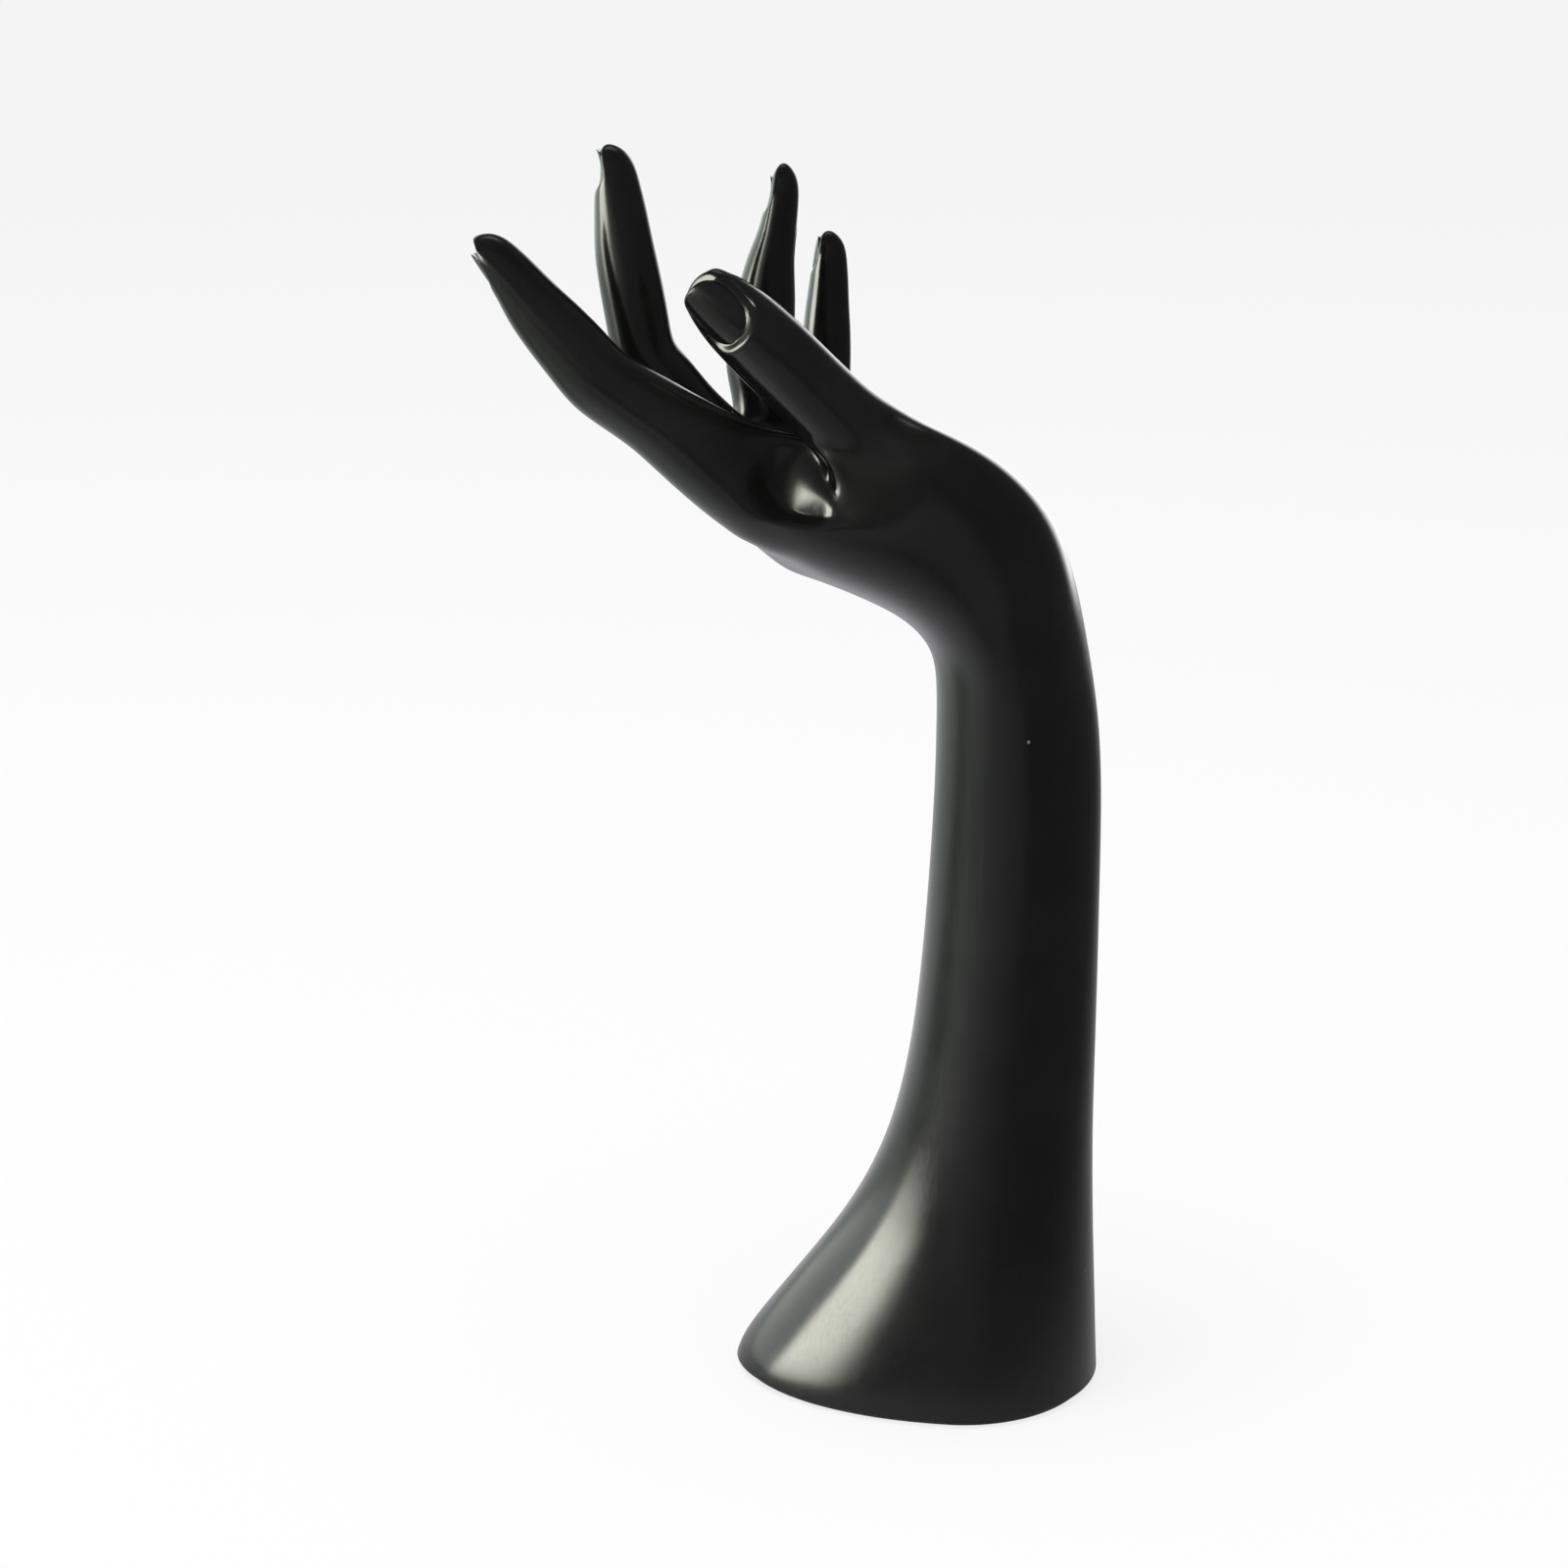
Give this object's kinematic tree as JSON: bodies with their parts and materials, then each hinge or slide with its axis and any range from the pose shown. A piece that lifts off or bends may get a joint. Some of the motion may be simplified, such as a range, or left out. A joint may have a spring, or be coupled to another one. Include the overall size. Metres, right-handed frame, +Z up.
{
  "type": "mannequin hand display",
  "caption": "Black satin cast-resin left hand and forearm, palm up with open fingers, standing on its own flared foot.",
  "frame": {"origin": "middle of the underside of the felt pad, on the floor, half way along and half way across the foot", "axes": "+Z up along the forearm; the hand and fingers bend to -X; -Y is the thumb side; +X is the palm side of the wrist"},
  "size_m": [0.1454, 0.0728, 0.2993],
  "materials": {
    "black_satin_resin": "black cast resin with a satin gloss, fine rubbing marks and a few tiny chips",
    "zinc_plate": "zinc-plated sheet steel",
    "cast_iron": "raw sand-cast iron",
    "screw_steel": "bright plated steel",
    "black_felt": "matte pressed felt"
  },
  "bodies": {
    "root": {"hand_casting": "black_satin_resin", "base_plate": "zinc_plate", "ballast_weight": "cast_iron", "ballast_screw_front": "screw_steel", "ballast_screw_rear": "screw_steel", "plate_screw_thumb_side": "screw_steel", "plate_screw_far_side": "screw_steel", "plate_screw_heel": "screw_steel", "plate_screw_toe": "screw_steel", "felt_pad": "black_felt"}
  },
  "joints": []
}
